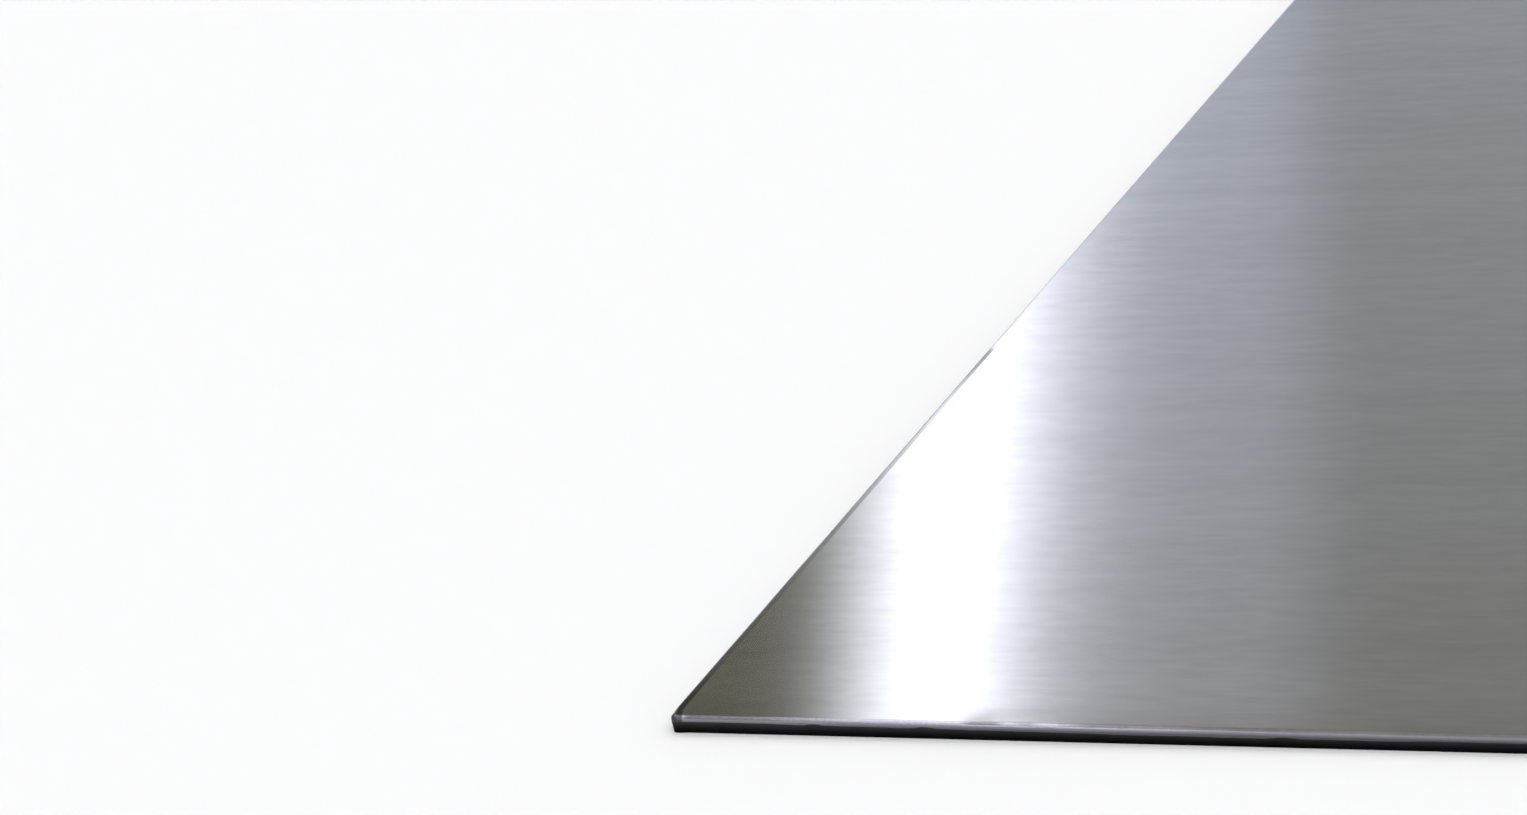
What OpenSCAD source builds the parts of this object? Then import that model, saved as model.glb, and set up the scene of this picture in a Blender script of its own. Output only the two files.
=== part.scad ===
// Brushed steel plate: one flat blank of cold-sheared stock, lying with its ground face upwards.
// Lengths are in millimetres. The plate rests on z = 0, and the origin is under its middle.

/* [Plate] */
// Length of the plate, along the grain of the ground face
plate_length = 600; // [100:10:3000]
// Width of the plate, across the grain
plate_width = 400; // [100:10:1500]
// Thickness of the plate
plate_thickness = 3; // [2:0.5:12]

/* [Sheared edge] */
// Radius that the four corners are dressed to, seen from above
corner_radius = 1; // [0.8:0.1:20]
// Radius at which the ground face rolls over into the edge
rollover_radius = 0.5; // [0.1:0.05:0.7]
// Depth from the ground face to the lower end of the smooth land that the blade leaves
land_depth = 1.1; // [0.8:0.1:1.8]
// How far the torn zone under the land leans back on its way to the underside
breakout_setback = 0.2; // [0.05:0.05:0.5]

/* [Hidden] */
$fn = 96;
steel_grey = [0.55, 0.56, 0.57];
// The straight stretches of edge run between the centres of the rounded corners
straight_length = plate_length - 2 * corner_radius;
straight_width = plate_width - 2 * corner_radius;
land_bottom = plate_thickness - land_depth;
// How far a cutting shape reaches past the surface that it cuts
cut_margin = 1;

// Upper corner of the section that the roll-over takes away
module rollover_cut() {
    translate([corner_radius - rollover_radius, plate_thickness - rollover_radius])
        difference() {
            square(rollover_radius + cut_margin);
            circle(r = rollover_radius);
        }
}

// Wedge of the section that has broken away below the land
module breakout_cut() {
    polygon([
        [corner_radius, land_bottom],
        [corner_radius - breakout_setback, 0],
        [corner_radius + cut_margin, 0],
        [corner_radius + cut_margin, land_bottom]
    ]);
}

// Section of the sheared edge, from a corner's centre line at x = 0 out to the land
module edge_section() {
    difference() {
        square([corner_radius, plate_thickness]);
        rollover_cut();
        breakout_cut();
    }
}

// Straight stretch of sheared edge, centred, with its land facing +X
module straight_edge(edge_length) {
    translate([0, edge_length / 2, 0])
        rotate([90, 0, 0])
            linear_extrude(edge_length)
                edge_section();
}

// Rounded corner that carries the same section from the +X side round to the +Y side
module dressed_corner() {
    rotate_extrude(angle = 90)
        edge_section();
}

// One side of the plate and the corner at its left-hand end
module side_and_corner(distance_out, edge_length) {
    translate([distance_out, 0, 0])
        straight_edge(edge_length);
    translate([distance_out, edge_length / 2, 0])
        dressed_corner();
}

module plate() {
    color(steel_grey) {
        translate([-straight_length / 2, -straight_width / 2, 0])
            cube([straight_length, straight_width, plate_thickness]);
        for (turn = [0, 180]) {
            rotate(turn)
                side_and_corner(straight_length / 2, straight_width);
            rotate(turn + 90)
                side_and_corner(straight_width / 2, straight_length);
        }
    }
}

plate();
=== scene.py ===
"""Brushed steel plate in a plain studio, seen by the photograph's camera. Lengths are in metres."""
import math

import bpy
import numpy as np
from mathutils import Matrix, Vector, noise


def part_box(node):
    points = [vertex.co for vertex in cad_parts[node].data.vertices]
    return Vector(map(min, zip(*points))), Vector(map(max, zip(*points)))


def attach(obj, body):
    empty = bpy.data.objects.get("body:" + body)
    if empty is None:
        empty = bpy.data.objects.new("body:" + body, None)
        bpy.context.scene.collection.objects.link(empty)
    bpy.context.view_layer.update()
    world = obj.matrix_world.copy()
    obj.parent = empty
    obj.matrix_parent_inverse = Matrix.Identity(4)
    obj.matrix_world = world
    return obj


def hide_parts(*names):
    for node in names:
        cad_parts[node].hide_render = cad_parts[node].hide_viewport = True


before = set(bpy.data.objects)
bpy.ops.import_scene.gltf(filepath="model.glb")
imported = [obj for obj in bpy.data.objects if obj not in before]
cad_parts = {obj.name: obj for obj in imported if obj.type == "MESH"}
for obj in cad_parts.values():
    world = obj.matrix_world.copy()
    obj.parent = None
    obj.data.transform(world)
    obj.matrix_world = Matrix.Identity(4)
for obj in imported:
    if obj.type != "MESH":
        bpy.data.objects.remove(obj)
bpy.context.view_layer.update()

MILLIMETRE = 0.001
QUARTER_TURN = math.pi / 2

# Photograph, in pixels from its top left
PHOTO_W, PHOTO_H = 1527, 815
CORNER_PX = Vector((668.0, 716.0))
LEFT_EDGE_PX = Vector((1279.0, 15.5))
FRONT_EDGE_PX = Vector((1516.5, 736.0))
FOCAL_PX = 4000.0
# From the near left corner, along the plate's left edge, to that edge's vanishing point
LEFT_VANISHING_PX = 3000.0

# Camera: its distance from the near left corner, its sensor's width and how far it sees
CAMERA_DISTANCE = 0.63
SENSOR_MM = 36.0
CLIP_END = 100.0

# Plate: its box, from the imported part, and its edges, as the part's source has them
NODE = "plate"
LOW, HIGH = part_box(NODE)
THICKNESS = HIGH.z - LOW.z
CORNER_RADIUS = 1.0 * MILLIMETRE
ROLLOVER = 0.5 * MILLIMETRE
LAND_DEPTH = 1.1 * MILLIMETRE
SETBACK = 0.2 * MILLIMETRE

# Mesh: cells of the flat faces, and steps along the edge, round a corner and down the edge
CELLS_X, CELLS_Y = 30, 20
EDGE_STEPS_PER_CELL = 28
CORNER_STEPS = 8
ROLLOVER_ROWS, LAND_ROWS, FRACTURE_ROWS = 8, 2, 6

# Map: the ground face across its full width, and the underside and edges below it at half size
MAP_NAME = "OFBake"
MAP_MARGIN = 0.03
MAP_SCALE = (1.0 - 2 * MAP_MARGIN) / (HIGH.x - LOW.x)
FACE_MAP_V = 0.36
EDGE_MAP_U = 0.52
EDGE_MAP_SPACING, EDGE_MAP_HEIGHT = 0.075, 0.06

# Unevenness of the sheared edge: how much, and over what length
ROLLOVER_WOBBLE, ROLLOVER_PERIOD = 0.08 * MILLIMETRE, 18.0 * MILLIMETRE
LAND_WOBBLE, LAND_PERIOD = 0.10 * MILLIMETRE, 7.0 * MILLIMETRE
LAND_FINE_SHARE, LAND_FINE_PERIOD = 0.5, 2.0 * MILLIMETRE
FRACTURE_RELIEF, FRACTURE_PERIOD = 0.09 * MILLIMETRE, 0.8 * MILLIMETRE
# Share of the torn zone's height over which its relief sets in
FRACTURE_START = 0.5
# Places on the front edge where the torn zone climbs into the land, or where the land reaches lower:
# distance from the corner, half length and rise
TEARS = (
    (90.0 * MILLIMETRE, 75.0 * MILLIMETRE, -0.30 * MILLIMETRE),
    (9.0 * MILLIMETRE, 13.0 * MILLIMETRE, 0.20 * MILLIMETRE),
    (23.9 * MILLIMETRE, 2.0 * MILLIMETRE, 0.22 * MILLIMETRE),
    (42.6 * MILLIMETRE, 2.6 * MILLIMETRE, 0.25 * MILLIMETRE),
    (99.6 * MILLIMETRE, 3.0 * MILLIMETRE, 0.25 * MILLIMETRE),
)
# Shallow dent in the front edge: distance from the corner, depth, reach to either side and unevenness
DENT_AT, DENT_DEPTH = 55.0 * MILLIMETRE, 0.09 * MILLIMETRE
DENT_LEFT, DENT_RIGHT = 6.5 * MILLIMETRE, 14.0 * MILLIMETRE
DENT_UNEVEN_SHARE, DENT_PERIOD = 0.3, 4.0 * MILLIMETRE
# Growth of the roll-over's radius at the dent, for each unit of its depth
DENT_ROUNDING = 2.0
# Wear of the near left corner: its reach, growth of the roll-over's radius, and share of the torn
# zone's hollow that is pressed out
WEAR_REACH = 3.5 * MILLIMETRE
WEAR_ROUNDING, WEAR_PRESSING = 0.32 * MILLIMETRE, 0.7

# Relief of the ground face: its droop at the long edges, its sag behind the dent and its streaks
DROOP_WIDTH, DROOP_DEPTH = 6.0 * MILLIMETRE, 0.05 * MILLIMETRE
SAG_WIDTH, SAG_DEPTH = 5.0 * MILLIMETRE, 0.035 * MILLIMETRE
STREAK_DEPTH = 0.0035 * MILLIMETRE
# Relief of the other finishes
SCORE_DEPTH = 0.003 * MILLIMETRE
GRIT_DEPTH, GRIT_STRENGTH = 0.05 * MILLIMETRE, 0.8
ROLLED_DEPTH = 0.01 * MILLIMETRE

# Painted shade: a dark line along the left end's upper edge, from the front corner: length, width at either
# end, softness
END_SHADE_LENGTH = 147.0 * MILLIMETRE
END_SHADE_WIDTH_FRONT, END_SHADE_WIDTH_BACK = 1.6 * MILLIMETRE, 1.25 * MILLIMETRE
END_SHADE_SOFTNESS = 0.25 * MILLIMETRE
# How much wider it is round the corner, and how far back that goes
END_SHADE_CORNER_EXTRA, END_SHADE_CORNER_DEPTH = 0.7 * MILLIMETRE, 2.5 * MILLIMETRE
# Its strength at the corner, and the changes from there: start and end as shares of its length, and change
END_SHADE_AT_CORNER = 0.87
END_SHADE_CHANGES = (
    (0.02, 0.14, -0.65),
    (0.34, 0.50, 0.34),
    (0.80, 0.97, 0.44),
    (0.99, 1.01, -0.80),
    (1.05, 1.20, -0.20),
)

# Noises of the finishes: size along x, y and z, detail, and an offset that sets one apart from the next
FINE_GRAIN = (0.014, 0.0008, 1.0), 2.0, 0.0
MEDIUM_GRAIN = (0.008, 0.0026, 1.0), 2.0, 3.0
BROAD_GRAIN = (0.25, 0.030, 1.0), 2.0, 7.0
LONG_GRAIN = (0.40, 0.008, 1.0), 2.0, 11.0
LAND_SCORES = (0.0004, 0.0004, 0.01), 3.0, 0.0
LAND_PATCHES = (0.012, 0.012, 0.004), 2.0, 5.0
TORN_GRIT = (0.00025, 0.00025, 0.0005), 4.0, 0.0
TORN_PATCHES = (0.006, 0.006, 0.002), 2.0, 5.0
ROLLED_LINES = (0.08, 0.004, 1.0), 3.0, 0.0
ROLLED_CLOUDS = (0.10, 0.10, 1.0), 2.0, 5.0
# Share that the second of two noises has in their sum
FINE_SHARE, LONG_SHARE = 0.35, 0.4
LAND_PATCH_SHARE, TORN_PATCH_SHARE, CLOUD_SHARE = 0.5, 0.4, 0.5
# Range of a noise over which a finish changes
NOISE_LOW, NOISE_HIGH = 0.3, 0.7

# Colours of the finishes: darker and brighter patches
FACE_COLOURS = (0.54, 0.54, 0.54, 1), (0.62, 0.62, 0.62, 1)
LAND_COLOURS = (0.39, 0.38, 0.425, 1), (0.48, 0.47, 0.52, 1)
# Painted shade: the torn zone's near-black colours at its top and at its foot
TORN_TOP_SHADE_COLOURS = (0.035, 0.035, 0.038, 1), (0.060, 0.060, 0.066, 1)
TORN_FOOT_SHADE_COLOURS = (0.001, 0.001, 0.0012, 1), (0.004, 0.004, 0.0045, 1)
UNDERSIDE_COLOURS = (0.42, 0.42, 0.42, 1), (0.50, 0.50, 0.50, 1)
# Painted shade: the land's colour at its foot, to which it darkens from its top
LAND_FOOT_SHADE_COLOUR = (0.105, 0.102, 0.114, 1)
# Painted shade: colours of the dark line along the left end, on the face and on the land
FACE_END_SHADE_COLOUR, LAND_END_SHADE_COLOUR = (0.10, 0.10, 0.095, 1), (0.05, 0.05, 0.05, 1)
# Roughness of the finishes: smoother and rougher patches
FACE_ROUGHNESS = 0.155, 0.165
LAND_ROUGHNESS = 0.20, 0.24
TORN_ROUGHNESS = 0.55, 0.75
UNDERSIDE_ROUGHNESS = 0.38, 0.46
# Share of a full turn that lays the blur across the map's u direction
BLUR_TURN = 0.25

# Floor
FLOOR_HALF_WIDTH = 30.0
FLOOR_COLOUR = (0.97, 0.97, 0.957, 1)

# Studio, by direction: x along the plate's length, z up
FIRST_WALL = (0.22, 0.22, 0.19, 1)
# Where the wall changes, how softly and to which colour
WALL_STEPS = (
    (-0.56, 0.08, (0.102, 0.096, 0.054, 1)),
    (-0.390, 0.004, (0.358, 0.358, 0.318, 1)),
    (-0.304, 0.014, (0.243, 0.243, 0.197, 1)),
)
# Stretch of the room that the camera sees in the plate
SEEN_FROM, SEEN_TO, SEEN_SOFTNESS = -0.49, -0.21, 0.04
# Level up to which the walls fade, and their shades at the floor and there, in that stretch and the rest
WALL_TOP = 0.62
SEEN_AT_FLOOR, SEEN_AT_TOP = (3.15, 3.49, 5.10, 1), (0.42, 0.32, 0.01, 1)
REST_AT_FLOOR, REST_AT_TOP = (2.2, 2.2, 2.75, 1), (0.8, 0.8, 1.0, 1)
# Left edge, right edge and softness of each strip light
STRIPS = (
    (-0.693, -0.677, 0.010),
    (-0.556, -0.540, 0.010),
    (-0.405, -0.3865, 0.020),
    (0.015, 0.031, 0.010),
    (0.332, 0.348, 0.010),
    (0.537, 0.553, 0.010),
    (0.660, 0.676, 0.010),
)
# Level below which the two edges lean to the right, the right one more, and how fast
STRIP_LEVEL = 0.443
STRIP_LEAN_LEFT, STRIP_LEAN_RIGHT = 0.08, 0.135
# Level above which the strip that the camera sees widens again to the right, and how fast
FLARE_LEVEL, FLARE_RIGHT = 0.70, 0.06
STRIP_STRENGTH = 3.4
STRIP_COLOUR = (0.97, 0.99, 1.105, 1)
# Overhead light: strength, levels at which it starts and is full, and share of it straight above
SEEN_OVERHEAD = (0.33, 0.69, 0.83, 0.3)
REST_OVERHEAD = (1.08, 0.50, 0.75, 0.5)
# Levels between which it falls to that share
ABOVE_FROM, ABOVE_TO = 0.95, 0.99
# How much lower it reaches in front of the plate, in the stretch that the camera sees
SEEN_OVERHEAD_DROP = 0.5
OVERHEAD_COLOUR = (1, 1, 1, 1)
# Level strips of light on the two end walls: where they set in and are full, spacing and strength
END_FROM, END_TO = 0.76, 0.86
END_PERIOD, END_STRENGTH = 0.10, 0.5


def smooth_bump(distance, half_length):
    """1 at the middle of a feature, falling smoothly to 0 at its ends."""
    share = min(abs(distance) / half_length, 1.0)
    return (1.0 - share * share) ** 2


def uneven(point, period):
    """Smooth unevenness between -1 and 1 at a place on the plate."""
    return noise.noise(point / period)


# Camera

def solve_camera():
    """Matrix of the camera that sees the corner and the two near edges where the photograph has them."""
    centre = Vector((PHOTO_W, PHOTO_H)) / 2
    corner = CORNER_PX - centre
    along_left = (LEFT_EDGE_PX - CORNER_PX).normalized()
    along_front = (FRONT_EDGE_PX - CORNER_PX).normalized()
    left_vanishing = corner + LEFT_VANISHING_PX * along_left
    # The two edges are square to each other, which gives the front edge's vanishing point
    reach = -(FOCAL_PX ** 2 + corner.dot(left_vanishing)) / along_front.dot(left_vanishing)
    front_vanishing = corner + reach * along_front

    def ray(pixel):
        return Vector((pixel.x, -pixel.y, -FOCAL_PX))

    axis_y = ray(left_vanishing).normalized()
    axis_x = ray(front_vanishing).normalized() * math.copysign(1.0, reach)
    axis_z = axis_x.cross(axis_y)
    to_world = Matrix((axis_x, axis_y, axis_z))
    corner_seen = ray(corner).normalized() * CAMERA_DISTANCE
    place = Vector((LOW.x, LOW.y, HIGH.z)) - to_world @ corner_seen
    return Matrix.Translation(place) @ to_world.to_4x4()


def make_camera():
    """Camera at the photograph's viewing angle."""
    data = bpy.data.cameras.new("camera")
    data.sensor_fit = "HORIZONTAL"
    data.sensor_width = SENSOR_MM
    data.lens = FOCAL_PX / PHOTO_W * SENSOR_MM
    data.clip_end = CLIP_END
    camera = bpy.data.objects.new("camera", data)
    camera.matrix_world = solve_camera()
    bpy.context.scene.collection.objects.link(camera)
    bpy.context.scene.camera = camera


# Shader nodes

def set_sockets(tree, node, sockets):
    """Gives each named socket a value, or links it to another node's output."""
    for name, value in sockets.items():
        if isinstance(value, bpy.types.NodeSocket):
            tree.links.new(value, node.inputs[name])
        else:
            node.inputs[name].default_value = value


def add(tree, kind, sockets=None, **settings):
    """A new node, with its settings and its sockets."""
    node = tree.nodes.new("ShaderNode" + kind)
    for name, value in settings.items():
        setattr(node, name, value)
    set_sockets(tree, node, sockets or {})
    return node


def maths(tree, operation, a, b=0.0):
    """Outcome of an operation on two values."""
    return add(tree, "Math", {0: a, 1: b}, operation=operation).outputs[0]


def ramp(tree, value, low, high, to_low=0.0, to_high=1.0, kind="LINEAR"):
    """Goes from one level to another as value goes from low to high, and stays level outside."""
    sockets = {"Value": value, "From Min": low, "From Max": high, "To Min": to_low, "To Max": to_high}
    return add(tree, "MapRange", sockets, interpolation_type=kind).outputs["Result"]


def step_up(tree, value, low, high, to_low=0.0, to_high=1.0):
    """A ramp with a smooth start and end."""
    return ramp(tree, value, low, high, to_low, to_high, "SMOOTHSTEP")


def mix_value(tree, share, a, b):
    """Goes from value a to value b as share goes from 0 to 1."""
    return add(tree, "Mix", {"Factor": share, 2: a, 3: b}).outputs[0]


def mix_colour(tree, share, a, b, blend="MIX"):
    """Goes from colour a to colour b, or to their blend, as share goes from 0 to 1."""
    sockets = {"Factor": share, 6: a, 7: b}
    return add(tree, "Mix", sockets, data_type="RGBA", blend_type=blend).outputs[2]


def weigh(tree, a, b, share):
    """Sum of two values, of which b has the given share."""
    return maths(tree, "ADD", maths(tree, "MULTIPLY", a, 1.0 - share), maths(tree, "MULTIPLY", b, share))


def split(tree, vector):
    """The x, y and z of a vector."""
    parts = add(tree, "SeparateXYZ", {0: vector})
    return [parts.outputs[axis] for axis in "XYZ"]


def part_place(tree):
    """Place on the part, in metres."""
    return add(tree, "TexCoord").outputs["Object"]


def grain(tree, place, size, detail, offset):
    """Noise between 0 and 1 with its own size along each axis."""
    scaled = add(tree, "VectorMath", {0: place, 1: size}, operation="DIVIDE").outputs[0]
    sockets = {"Vector": scaled, "W": offset, "Scale": 1.0, "Detail": detail}
    return add(tree, "TexNoise", sockets, noise_dimensions="4D").outputs["Fac"]


def patchy_value(tree, pattern, levels):
    """Goes from the first level to the second as a noise rises."""
    return step_up(tree, pattern, NOISE_LOW, NOISE_HIGH, *levels)


def patchy_colour(tree, pattern, colours):
    """Goes from the first colour to the second as a noise rises."""
    return mix_colour(tree, step_up(tree, pattern, NOISE_LOW, NOISE_HIGH), *colours)


def bump(tree, height, depth, strength=1.0):
    """Normal of a surface that has the given relief."""
    sockets = {"Height": height, "Distance": depth, "Strength": strength}
    return add(tree, "Bump", sockets).outputs["Normal"]


# Materials

def new_material(name):
    """A material with its node tree and its shader."""
    material = bpy.data.materials.new(name)
    material.use_nodes = True
    tree = material.node_tree
    return material, tree, tree.nodes["Principled BSDF"]


def set_metal(tree, shader, colour, roughness, normal):
    """Makes a metal with the given looks."""
    sockets = {"Base Color": colour, "Roughness": roughness, "Normal": normal, "Metallic": 1.0}
    set_sockets(tree, shader, sockets)


def set_blur(tree, shader):
    """Blurs what the metal mirrors far more across the map's u direction than along it."""
    tangent = add(tree, "Tangent", direction_type="UV_MAP").outputs["Tangent"]
    sockets = {"Tangent": tangent, "Anisotropic": 1.0, "Anisotropic Rotation": BLUR_TURN}
    set_sockets(tree, shader, sockets)


def painted_end_shade(tree, place):
    """Share of the painted shade, a dark line along the left end's upper edge."""
    x, y, _ = split(tree, place)
    from_end = maths(tree, "SUBTRACT", x, LOW.x)
    from_front = maths(tree, "SUBTRACT", y, LOW.y)
    along = maths(tree, "DIVIDE", from_front, END_SHADE_LENGTH)
    width = ramp(tree, along, 0.0, 1.0, END_SHADE_WIDTH_FRONT, END_SHADE_WIDTH_BACK)
    extra = step_up(tree, from_front, 0.0, END_SHADE_CORNER_DEPTH, END_SHADE_CORNER_EXTRA, 0.0)
    past = maths(tree, "SUBTRACT", from_end, maths(tree, "ADD", width, extra))
    within = step_up(tree, past, -END_SHADE_SOFTNESS, END_SHADE_SOFTNESS, 1.0, 0.0)
    strength = END_SHADE_AT_CORNER
    for start, end, change in END_SHADE_CHANGES:
        strength = maths(tree, "ADD", strength, step_up(tree, along, start, end, 0.0, change))
    return maths(tree, "MULTIPLY", within, strength)


def edge_droop(tree, y):
    """How far the ground face has drooped towards its long edges."""
    from_edge = maths(tree, "SUBTRACT", HIGH.y, maths(tree, "ABSOLUTE", y))
    near_edge = ramp(tree, from_edge, 0.0, DROOP_WIDTH, 1.0, 0.0)
    return maths(tree, "MULTIPLY", maths(tree, "POWER", near_edge, 2.0), DROOP_DEPTH)


def dent_sag(tree, x, y):
    """How far the ground face has sagged behind the dent in the front edge."""
    from_front = maths(tree, "SUBTRACT", y, LOW.y)
    from_dent = maths(tree, "SUBTRACT", x, LOW.x + DENT_AT)
    left_share = maths(tree, "DIVIDE", from_dent, -DENT_LEFT)
    right_share = maths(tree, "DIVIDE", from_dent, DENT_RIGHT)
    near_front = step_up(tree, from_front, 0.0, SAG_WIDTH, 1.0, 0.0)
    near_dent = step_up(tree, maths(tree, "MAXIMUM", left_share, right_share), 0.0, 1.0, 1.0, 0.0)
    return maths(tree, "MULTIPLY", maths(tree, "MULTIPLY", near_front, near_dent), SAG_DEPTH)


def brushed_face():
    """Steel ground along its length: sharp along the grain, blurred across it, with fine streaks."""
    material, tree, shader = new_material("brushed_face")
    place = part_place(tree)
    x, y, _ = split(tree, place)
    tone = weigh(tree, grain(tree, place, *MEDIUM_GRAIN), grain(tree, place, *FINE_GRAIN), FINE_SHARE)
    shade = weigh(tree, tone, grain(tree, place, *LONG_GRAIN), LONG_SHARE)
    steel = patchy_colour(tree, shade, FACE_COLOURS)
    # Painted shade: a dark line along the left end's upper edge darkens the face there
    colour = mix_colour(tree, painted_end_shade(tree, place), steel, FACE_END_SHADE_COLOUR)
    roughness = patchy_value(tree, grain(tree, place, *BROAD_GRAIN), FACE_ROUGHNESS)
    streaks = maths(tree, "MULTIPLY", tone, STREAK_DEPTH)
    sunk = maths(tree, "ADD", edge_droop(tree, y), dent_sag(tree, x, y))
    height = maths(tree, "SUBTRACT", streaks, sunk)
    set_metal(tree, shader, colour, roughness, bump(tree, height, 1.0))
    set_blur(tree, shader)
    return material


def edge_land():
    """Roll-over and smooth land of the sheared edge, drawn out along it and scored down its height, with
    painted shade darkening it towards its foot.
    """
    material, tree, shader = new_material("edge_land")
    place = part_place(tree)
    _, _, z = split(tree, place)
    score = grain(tree, place, *LAND_SCORES)
    patch = grain(tree, place, *LAND_PATCHES)
    bright = patchy_colour(tree, weigh(tree, score, patch, LAND_PATCH_SHARE), LAND_COLOURS)
    # Painted shade: the land darkens from its top down to its foot
    rise = ramp(tree, z, HIGH.z - LAND_DEPTH, HIGH.z)
    steel = mix_colour(tree, rise, LAND_FOOT_SHADE_COLOUR, bright)
    # Painted shade: the same dark line darkens the land along the left end
    colour = mix_colour(tree, painted_end_shade(tree, place), steel, LAND_END_SHADE_COLOUR)
    roughness = patchy_value(tree, patch, LAND_ROUGHNESS)
    set_metal(tree, shader, colour, roughness, bump(tree, score, SCORE_DEPTH))
    set_blur(tree, shader)
    return material


def edge_fracture():
    """Rough zone where the last of the thickness tore off; its near-black colour, darkest at the foot, is
    painted shade.
    """
    material, tree, shader = new_material("edge_fracture")
    place = part_place(tree)
    _, _, z = split(tree, place)
    grit = grain(tree, place, *TORN_GRIT)
    tone = weigh(tree, grit, grain(tree, place, *TORN_PATCHES), TORN_PATCH_SHARE)
    # Painted shade: near-black colours, darkest at the foot
    foot = patchy_colour(tree, tone, TORN_FOOT_SHADE_COLOURS)
    top = patchy_colour(tree, tone, TORN_TOP_SHADE_COLOURS)
    rise = ramp(tree, z, LOW.z, HIGH.z - LAND_DEPTH)
    colour = mix_colour(tree, maths(tree, "POWER", rise, 2.0), foot, top)
    roughness = patchy_value(tree, grit, TORN_ROUGHNESS)
    set_metal(tree, shader, colour, roughness, bump(tree, grit, GRIT_DEPTH, GRIT_STRENGTH))
    return material


def underside():
    """Dull rolled finish of the face that the plate lies on."""
    material, tree, shader = new_material("underside")
    place = part_place(tree)
    rolled = grain(tree, place, *ROLLED_LINES)
    cloud = grain(tree, place, *ROLLED_CLOUDS)
    colour = patchy_colour(tree, weigh(tree, rolled, cloud, CLOUD_SHARE), UNDERSIDE_COLOURS)
    roughness = patchy_value(tree, cloud, UNDERSIDE_ROUGHNESS)
    set_metal(tree, shader, colour, roughness, bump(tree, rolled, ROLLED_DEPTH))
    return material


# Plate

class Outline:
    """Stations round the plate, counter-clockwise from above, from the left end of the front edge.

    Each station has an inset point, an outward direction, its side and its distance along that side.
    """

    CELLS = (CELLS_X, CELLS_Y, CELLS_X, CELLS_Y)

    def __init__(self):
        self.first = []
        self.side = []
        self.points = []
        self.outward = []
        self.along = []
        half_x = (HIGH.x - LOW.x) / 2 - CORNER_RADIUS
        half_y = (HIGH.y - LOW.y) / 2 - CORNER_RADIUS
        middle = (LOW + HIGH) / 2
        corners = ((-half_x, -half_y), (half_x, -half_y), (half_x, half_y), (-half_x, half_y))
        for side in range(4):
            start = Vector(corners[side]) + middle.xy
            end = Vector(corners[(side + 1) % 4]) + middle.xy
            self.add_side(side, start, end)
        self.count = len(self.points)

    def add_side(self, side, start, end):
        """Stations of one side and of the corner after it."""
        self.first.append(len(self.points))
        steps = self.CELLS[side] * EDGE_STEPS_PER_CELL
        length = (end - start).length
        facing = (side - 1) * QUARTER_TURN
        for i in range(steps + 1):
            self.add_station(side, start.lerp(end, i / steps), facing, length * i / steps)
        for i in range(1, CORNER_STEPS):
            turn = QUARTER_TURN * i / CORNER_STEPS
            self.add_station(side, end, facing + turn, length + CORNER_RADIUS * turn)

    def add_station(self, side, point, facing, along):
        self.side.append(side)
        self.points.append(point)
        self.outward.append(Vector((math.cos(facing), math.sin(facing))))
        self.along.append(along)

    def front_distance(self, station):
        """Distance along the front edge, or None round the corners and on the other sides."""
        return self.along[station] if station <= CELLS_X * EDGE_STEPS_PER_CELL else None

    def stretch(self, side, cell):
        """Stations along one cell of a side, with the corner after it where the cell is the side's last."""
        start = self.first[side] + cell * EDGE_STEPS_PER_CELL
        last = cell == self.CELLS[side] - 1
        more = CORNER_STEPS if last else 0
        return [i % self.count for i in range(start, start + EDGE_STEPS_PER_CELL + 1 + more)]


def land_foot(at, distance):
    """Height of the land's foot at one place on the edge."""
    wobble = uneven(at, LAND_PERIOD) + LAND_FINE_SHARE * uneven(at, LAND_FINE_PERIOD)
    foot = THICKNESS - LAND_DEPTH + LAND_WOBBLE * wobble
    if distance is not None:
        for tear_at, half_length, rise in TEARS:
            foot += rise * smooth_bump(distance - tear_at, half_length)
    return foot


def dent_depth(at, distance):
    """Depth of the dent at one place on the edge."""
    if distance is None:
        return 0.0
    reach = DENT_LEFT if distance < DENT_AT else DENT_RIGHT
    share = 1.0 - DENT_UNEVEN_SHARE + DENT_UNEVEN_SHARE * uneven(at, DENT_PERIOD)
    return DENT_DEPTH * smooth_bump(distance - DENT_AT, reach) * share


def fracture_hollow(at, height, share):
    """How far the torn zone lies behind the land, at a share of the way down to the underside."""
    roughness = 0.5 + 0.5 * uneven(Vector((at.x, at.y, height)), FRACTURE_PERIOD)
    return SETBACK * share + FRACTURE_RELIEF * roughness * min(1.0, share / FRACTURE_START)


def edge_section(point, outward, distance):
    """Rows of one section of the edge, from the ground face down: (reach from the inset point, height)."""
    at = (point + outward * CORNER_RADIUS).to_3d()
    wear = smooth_bump((at.xy - LOW.xy).length, WEAR_REACH)
    dent = dent_depth(at, distance)
    roll = ROLLOVER + ROLLOVER_WOBBLE * (1.0 + uneven(at, ROLLOVER_PERIOD))
    roll += DENT_ROUNDING * dent + WEAR_ROUNDING * wear
    top, foot = THICKNESS - roll, land_foot(at, distance)
    rows = []
    for i in range(ROLLOVER_ROWS + 1):
        angle = QUARTER_TURN * i / ROLLOVER_ROWS
        reach = CORNER_RADIUS - roll + roll * math.sin(angle) - dent
        rows.append((reach, top + roll * math.cos(angle)))
    for i in range(1, LAND_ROWS + 1):
        rows.append((CORNER_RADIUS - dent, top + (foot - top) * i / LAND_ROWS))
    for i in range(1, FRACTURE_ROWS + 1):
        share = i / FRACTURE_ROWS
        height = foot * (1 - share)
        hollow = fracture_hollow(at, height, share) * (1 - WEAR_PRESSING * wear)
        rows.append((CORNER_RADIUS - hollow - dent * (1 - share), height))
    return rows


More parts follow.
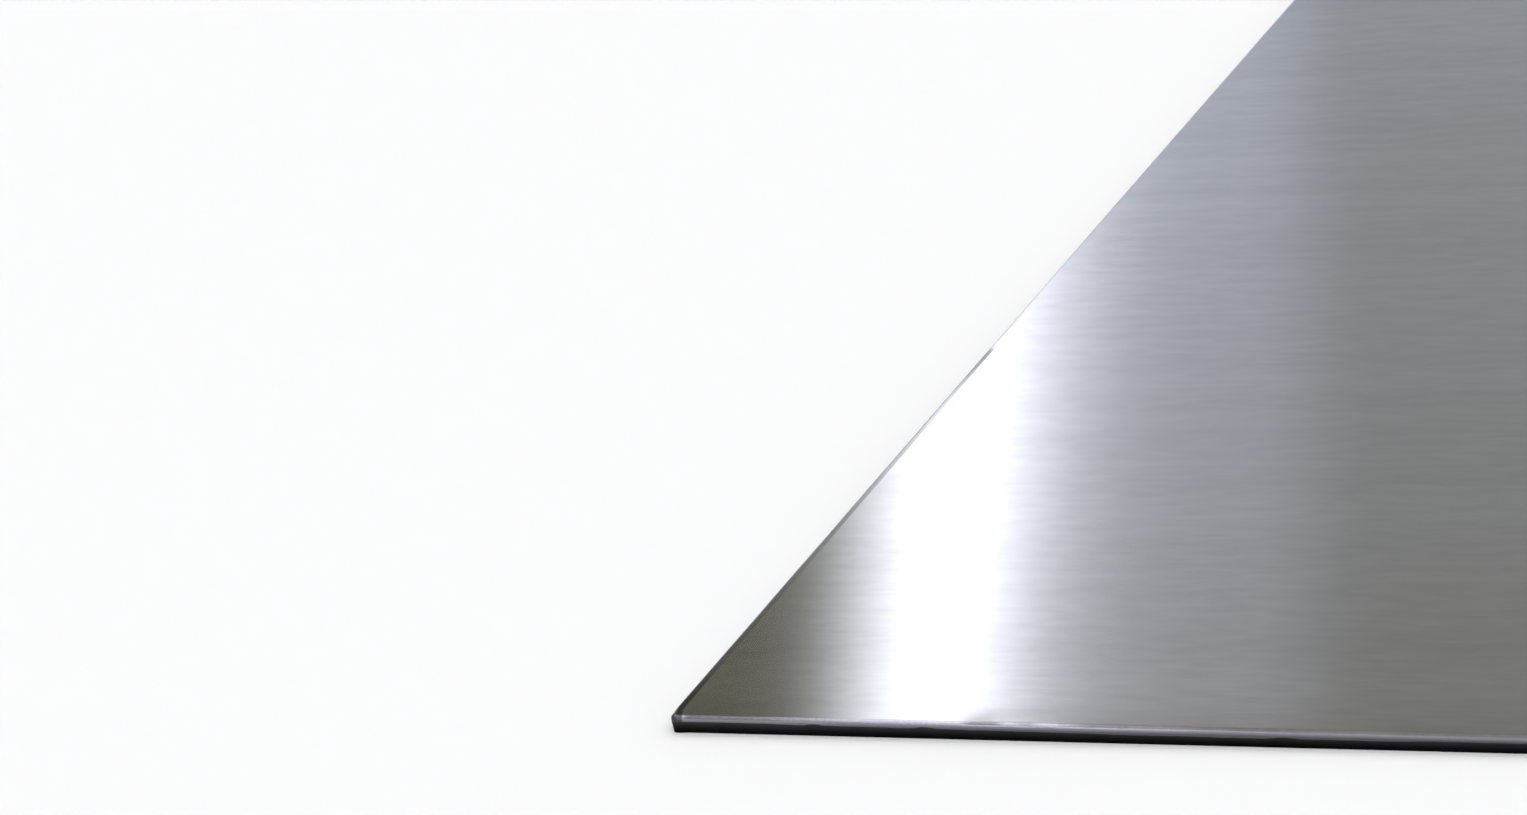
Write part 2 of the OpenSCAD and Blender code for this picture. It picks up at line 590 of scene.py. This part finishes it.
class PlateMesh:
    """Mesh of the plate: a ring of edge sections closed by two gridded faces, mapped along the grain."""

    FACE, LAND, FRACTURE, UNDERSIDE = range(4)
    ROWS = ROLLOVER_ROWS + LAND_ROWS + FRACTURE_ROWS + 1

    def __init__(self):
        self.outline = Outline()
        self.places = []
        self.faces = []
        self.slots = []
        self.edge_faces = []
        self.add_edge_places()
        self.add_edge_faces()
        self.add_flat_face(HIGH.z, 0, self.FACE)
        self.add_flat_face(LOW.z, self.ROWS - 1, self.UNDERSIDE)

    def add_edge_places(self):
        """One ring of places round the plate for each row of the edge's sections."""
        outline = self.outline
        sections = []
        for i in range(outline.count):
            sections.append(edge_section(outline.points[i], outline.outward[i], outline.front_distance(i)))
        for row in range(self.ROWS):
            for i in range(outline.count):
                reach, height = sections[i][row]
                spot = outline.points[i] + outline.outward[i] * reach
                self.places.append((spot.x, spot.y, LOW.z + height))

    def add_edge_faces(self):
        """Faces between each ring and the one below it."""
        count = self.outline.count
        for row in range(self.ROWS - 1):
            slot = self.LAND if row < ROLLOVER_ROWS + LAND_ROWS else self.FRACTURE
            here, below = row * count, (row + 1) * count
            for i in range(count):
                j = (i + 1) % count
                self.faces.append((here + i, below + i, below + j, here + j))
                self.slots.append(slot)
                self.edge_faces.append((row, i))

    def add_flat_face(self, height, row, slot):
        """A gridded flat face inside one ring of the edge."""
        outline = self.outline
        inner_start = len(self.places)
        for j in range(1, CELLS_Y):
            for i in range(1, CELLS_X):
                front = outline.points[outline.first[0] + i * EDGE_STEPS_PER_CELL]
                right = outline.points[outline.first[1] + j * EDGE_STEPS_PER_CELL]
                self.places.append((front.x, right.y, height))
        for j in range(CELLS_Y):
            for i in range(CELLS_X):
                loop = self.cell_loop(i, j, row * outline.count, inner_start)
                self.faces.append(tuple(loop if slot == self.FACE else reversed(loop)))
                self.slots.append(slot)

    def cell_loop(self, i, j, ring_start, inner_start):
        """Places round one cell of a flat face. An outer cell takes up all stations beside it."""
        sides = (
            (j == 0, i, (i, j), (i + 1, j)),
            (i == CELLS_X - 1, j, (i + 1, j), (i + 1, j + 1)),
            (j == CELLS_Y - 1, CELLS_X - 1 - i, (i + 1, j + 1), (i, j + 1)),
            (i == 0, CELLS_Y - 1 - j, (i, j + 1), (i, j)),
        )
        loop = []
        for side, (on_ring, cell, *ends) in enumerate(sides):
            if on_ring:
                loop += [ring_start + station for station in self.outline.stretch(side, cell)]
                continue
            inner = [(a, b) for a, b in ends if 0 < a < CELLS_X and 0 < b < CELLS_Y]
            loop += [inner_start + (b - 1) * (CELLS_X - 1) + a - 1 for a, b in inner]
        # Neighbouring sides share their ends, and each place is kept once
        return list(dict.fromkeys(loop))

    def make(self, name, materials):
        """The plate's object, with its materials and its map."""
        mesh = bpy.data.meshes.new(name)
        mesh.from_pydata(self.places, [], self.faces)
        for material in materials:
            mesh.materials.append(material)
        mesh.polygons.foreach_set("material_index", self.slots)
        flat = (self.FACE, self.UNDERSIDE)
        mesh.polygons.foreach_set("use_smooth", [slot not in flat for slot in self.slots])
        self.lay_map(mesh)
        mesh.validate()
        mesh.update()
        plate = bpy.data.objects.new(name, mesh)
        bpy.context.scene.collection.objects.link(plate)
        return plate

    def lay_map(self, mesh):
        """Lays out the ground face, the underside and the edges, with u along the grain."""
        layer = mesh.uv_layers.new(name=MAP_NAME)
        spots = np.zeros((len(mesh.loops), 2))
        for polygon in mesh.polygons:
            loops = slice(polygon.loop_start, polygon.loop_start + polygon.loop_total)
            if polygon.index < len(self.edge_faces):
                spots[loops] = self.edge_spots(*self.edge_faces[polygon.index])
            else:
                spots[loops] = self.flat_spots(polygon.vertices, polygon.material_index)
        layer.data.foreach_set("uv", spots.ravel())

    def edge_spots(self, row, station):
        """Map of one face of the edge, on its side's strip."""
        outline = self.outline
        begin = outline.along[station]
        end = outline.along[(station + 1) % outline.count]
        if end < begin:
            # The next station starts the next side
            end = begin + CORNER_RADIUS * QUARTER_TURN / CORNER_STEPS
        left, right = (EDGE_MAP_U + along * MAP_SCALE / 2 for along in (begin, end))
        top = MAP_MARGIN + EDGE_MAP_SPACING * (outline.side[station] + 1)
        upper, lower = (top - EDGE_MAP_HEIGHT * level / (self.ROWS - 1) for level in (row, row + 1))
        return (left, upper), (left, lower), (right, lower), (right, upper)

    def flat_spots(self, vertices, slot):
        """Map of one cell of a flat face."""
        spots = np.array([self.places[k][:2] for k in vertices]) - (LOW.x, LOW.y)
        if slot == self.FACE:
            return spots * MAP_SCALE + (MAP_MARGIN, FACE_MAP_V)
        return spots * (MAP_SCALE / 2) + MAP_MARGIN


# Studio

def make_floor():
    """Plain pale floor, level with the underside."""
    mesh = bpy.data.meshes.new("floor")
    signs = ((-1, -1), (1, -1), (1, 1), (-1, 1))
    corners = [(x * FLOOR_HALF_WIDTH, y * FLOOR_HALF_WIDTH, LOW.z) for x, y in signs]
    mesh.from_pydata(corners, [], [(0, 1, 2, 3)])
    material, tree, shader = new_material("floor")
    set_sockets(tree, shader, {"Base Color": FLOOR_COLOUR, "Roughness": 1.0, "Specular IOR Level": 0.0})
    mesh.materials.append(material)
    floor = bpy.data.objects.new("floor", mesh)
    bpy.context.scene.collection.objects.link(floor)


def seen_stretch(tree, x):
    """1 in the stretch of the room that the camera sees in the plate, 0 in the rest."""
    after = step_up(tree, x, SEEN_FROM - SEEN_SOFTNESS, SEEN_FROM + SEEN_SOFTNESS)
    before = step_up(tree, x, SEEN_TO - SEEN_SOFTNESS, SEEN_TO + SEEN_SOFTNESS, 1.0, 0.0)
    return maths(tree, "MULTIPLY", after, before)


def wall_light(tree, x, z, seen):
    """Grey walls that change from left to right, pale and cool at the floor and darker higher up."""
    wall = FIRST_WALL
    for at, softness, colour in WALL_STEPS:
        wall = mix_colour(tree, step_up(tree, x, at - softness, at + softness), wall, colour)
    rise = ramp(tree, z, 0.0, WALL_TOP)
    seen_shade = mix_colour(tree, rise, SEEN_AT_FLOOR, SEEN_AT_TOP)
    rest_shade = mix_colour(tree, rise, REST_AT_FLOOR, REST_AT_TOP)
    shade = mix_colour(tree, seen, rest_shade, seen_shade)
    return mix_colour(tree, 1.0, wall, shade, "MULTIPLY")


def strip_lights(tree, x, z, seen):
    """Strip lights that arch over the plate and widen towards the floor, the seen one also overhead."""
    drop = maths(tree, "MAXIMUM", maths(tree, "SUBTRACT", STRIP_LEVEL, z), 0.0)
    rise = maths(tree, "MAXIMUM", maths(tree, "SUBTRACT", z, FLARE_LEVEL), 0.0)
    flare = maths(tree, "MULTIPLY", maths(tree, "MULTIPLY", rise, seen), FLARE_RIGHT)
    past_left = maths(tree, "SUBTRACT", x, maths(tree, "MULTIPLY", drop, STRIP_LEAN_LEFT))
    past_right = maths(tree, "SUBTRACT", x, maths(tree, "MULTIPLY", drop, STRIP_LEAN_RIGHT))
    past_right = maths(tree, "SUBTRACT", past_right, flare)
    total = 0.0
    for left, right, softness in STRIPS:
        lit = step_up(tree, past_left, left - softness, left + softness)
        unlit = step_up(tree, past_right, right - softness, right + softness, 1.0, 0.0)
        total = maths(tree, "ADD", total, maths(tree, "MULTIPLY", lit, unlit))
    return maths(tree, "MULTIPLY", total, STRIP_STRENGTH)


def end_strips(tree, x, z):
    """Soft level strips, one above the other, on the walls past the plate's two ends."""
    at_end = step_up(tree, maths(tree, "ABSOLUTE", x), END_FROM, END_TO)
    wave = maths(tree, "SINE", maths(tree, "MULTIPLY", z, 2 * math.pi / END_PERIOD))
    light = maths(tree, "MULTIPLY", maths(tree, "ADD", wave, 1.0), END_STRENGTH / 2)
    return maths(tree, "MULTIPLY", at_end, light)


def overhead_light(tree, level, z, strength, start, full, above):
    """Soft light from a level upwards, weaker straight above."""
    light = step_up(tree, level, start, full)
    ring = maths(tree, "MULTIPLY", light, step_up(tree, z, ABOVE_FROM, ABOVE_TO, 1.0, above))
    return maths(tree, "MULTIPLY", ring, strength)


def make_world():
    """Grey studio with a soft light overhead, and strip lights that the plate mirrors as bright bands."""
    world = bpy.data.worlds.new("studio")
    world.use_nodes = True
    bpy.context.scene.world = world
    tree = world.node_tree
    x, y, z = split(tree, add(tree, "TexCoord").outputs["Generated"])
    seen = seen_stretch(tree, x)
    in_front = maths(tree, "MAXIMUM", maths(tree, "MULTIPLY", y, -SEEN_OVERHEAD_DROP), 0.0)
    rest_overhead = overhead_light(tree, z, z, *REST_OVERHEAD)
    seen_overhead = overhead_light(tree, maths(tree, "ADD", z, in_front), z, *SEEN_OVERHEAD)
    overhead = mix_value(tree, seen, rest_overhead, seen_overhead)
    lights = (
        {"Color": wall_light(tree, x, z, seen), "Strength": 1.0},
        {"Color": STRIP_COLOUR, "Strength": strip_lights(tree, x, z, seen)},
        {"Color": OVERHEAD_COLOUR, "Strength": maths(tree, "ADD", overhead, end_strips(tree, x, z))},
    )
    walls, strips, soft = [add(tree, "Background", light).outputs[0] for light in lights]
    both = add(tree, "AddShader", {0: walls, 1: strips}).outputs[0]
    total = add(tree, "AddShader", {0: both, 1: soft}).outputs[0]
    tree.links.new(total, tree.nodes["World Output"].inputs["Surface"])


# Scene

bpy.context.scene.view_settings.view_transform = "Standard"
make_camera()
make_world()
make_floor()
plate = PlateMesh().make("brushed_plate", [brushed_face(), edge_land(), edge_fracture(), underside()])
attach(plate, "root")
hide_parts(NODE)
